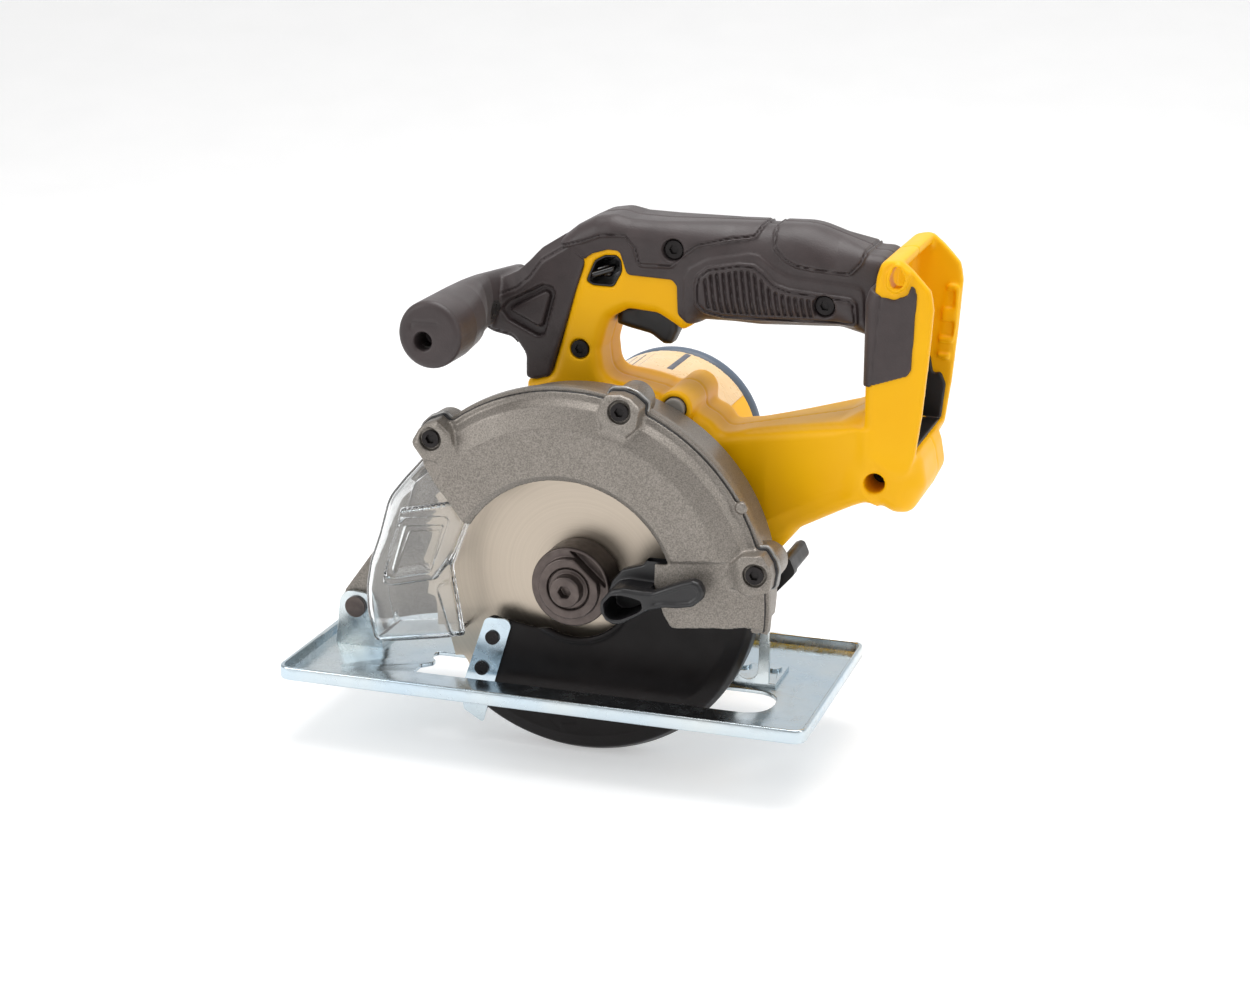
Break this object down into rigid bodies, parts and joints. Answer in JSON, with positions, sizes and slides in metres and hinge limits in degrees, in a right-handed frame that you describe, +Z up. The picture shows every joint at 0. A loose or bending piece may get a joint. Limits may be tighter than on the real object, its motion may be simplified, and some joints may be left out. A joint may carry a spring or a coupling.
{
  "type": "circular saw",
  "caption": "Cordless metal-cutting circular saw with a loop handle, front grip, cast guard with clear window, swinging lower guard and hinged shoe.",
  "frame": {"origin": "on the sole of the shoe, straight under the arbor, in the middle plane of the blade", "axes": "+X to the rear of the saw, -Y to the blade side, +Z up from the sole"},
  "size_m": [0.264, 0.154, 0.2208],
  "materials": {
    "yellow_housing": "moulded ABS, satin",
    "soft_grip": "moulded soft grip, fine matt texture",
    "black_plastic": "moulded glass-filled nylon",
    "zinc_steel": "zinc-plated sheet",
    "black_steel": "black, semi-gloss",
    "blade_steel": "ground tool steel",
    "cast_cover": "silver-grey paint on casting",
    "cast_aluminium": "as cast",
    "clear_window": "clear polycarbonate",
    "steel": "machined steel",
    "black_oxide": "black oxide",
    "motor_copper": "copper",
    "magnet": "sintered ferrite",
    "bronze": "sintered bronze",
    "blue_grey_cap": "moulded, satin"
  },
  "bodies": {
    "housing": {"front_bearing": "steel", "rear_bearing": "steel", "lay_bushes": "bronze", "motor_bearings": "steel", "motor_can": "steel", "magnets": "magnet", "brush_holder": "black_plastic", "brushes": "magnet", "motor_housing": "yellow_housing", "motor_end_cap": "blue_grey_cap", "gear_case": "cast_aluminium", "bearing_plate": "cast_aluminium", "case_screws": "black_oxide", "upper_guard": "cast_cover", "guard_cover": "cast_cover", "guard_window": "clear_window", "cover_screws": "black_oxide", "guard_ring": "black_oxide", "guard_spring": "steel", "clamp_bolt": "steel", "left_shell": "yellow_housing", "right_shell": "yellow_housing", "left_grip": "soft_grip", "right_grip": "soft_grip", "rear_panels": "soft_grip", "front_arm": "soft_grip", "front_grip": "soft_grip", "grip_core": "steel", "shell_screws": "black_oxide", "terminal_block": "black_plastic", "terminals": "motor_copper", "switch": "black_plastic"},
    "blade_unit": {"blade": "blade_steel", "outer_flange": "black_oxide", "inner_flange": "black_oxide", "blade_bolt": "black_oxide", "bolt_washer": "black_oxide", "spindle": "steel", "output_gear": "steel"},
    "lay_unit": {"layshaft": "steel", "lay_gear": "steel"},
    "rotor": {"rotor_shaft": "steel", "motor_pinion": "steel", "armature": "motor_copper", "commutator": "motor_copper", "fan": "black_plastic"},
    "guard": {"lower_guard": "black_steel", "guard_strip": "zinc_steel", "strip_rivets": "black_oxide", "guard_lever": "black_plastic"},
    "shoe_unit": {"shoe": "zinc_steel", "front_bracket": "zinc_steel", "rear_bracket": "zinc_steel", "bracket_rivets": "zinc_steel", "pivot_pin": "black_oxide"},
    "clamp_lever": {"depth_lever": "black_plastic"},
    "trigger_unit": {"trigger": "black_plastic"},
    "lock_off_unit": {"lock_off": "black_plastic"},
    "spindle_lock_unit": {"spindle_lock": "blue_grey_cap"}
  },
  "joints": [
    {"name": "blade_spin", "type": "hinge", "parent": "housing", "child": "blade_unit", "pos_m": [0, 0, 0.0465], "axis": [0, 1, 0], "continuous": true},
    {"name": "lay_spin", "type": "hinge", "parent": "housing", "child": "lay_unit", "pos_m": [0.01395, 0.03, 0.06351], "axis": [0, 1, 0], "continuous": true},
    {"name": "rotor_spin", "type": "hinge", "parent": "housing", "child": "rotor", "pos_m": [0.008, 0.07, 0.0805], "axis": [0, 1, 0], "continuous": true},
    {"name": "guard_swing", "type": "hinge", "parent": "housing", "child": "guard", "pos_m": [0, 0, 0.0465], "axis": [0, -1, 0], "range_deg": [0, 110], "stiffness_Nm_per_rad": 0.15, "springref_deg": -57.3},
    {"name": "shoe_depth", "type": "hinge", "parent": "housing", "child": "shoe_unit", "pos_m": [-0.105, 0.01, 0.0195], "axis": [0, -1, 0], "range_deg": [-11.5, 9]},
    {"name": "clamp_lever_turn", "type": "hinge", "parent": "housing", "child": "clamp_lever", "pos_m": [0.066, 0.019, 0.0405], "axis": [0, 1, 0], "range_deg": [0, 45]},
    {"name": "trigger_pull", "type": "slide", "parent": "housing", "child": "trigger_unit", "axis": [0, 0, 1], "range_m": [0, 0.006], "stiffness_N_per_m": 700, "springref_m": -0.004},
    {"name": "lock_off_press", "type": "hinge", "parent": "housing", "child": "lock_off_unit", "pos_m": [-0.0035, 0.036, 0.167], "axis": [0, 1, 0], "range_deg": [0, 8], "stiffness_Nm_per_rad": 0.3, "springref_deg": -17.19},
    {"name": "spindle_lock_press", "type": "slide", "parent": "housing", "child": "spindle_lock_unit", "axis": [0, 1, 0], "range_m": [0, 0.003], "stiffness_N_per_m": 1500, "springref_m": -0.002}
  ],
  "couplings": [
    {"joint": "lay_spin", "follows": "blade_spin", "ratio": -2.6667},
    {"joint": "rotor_spin", "follows": "blade_spin", "ratio": 5.3333}
  ]
}
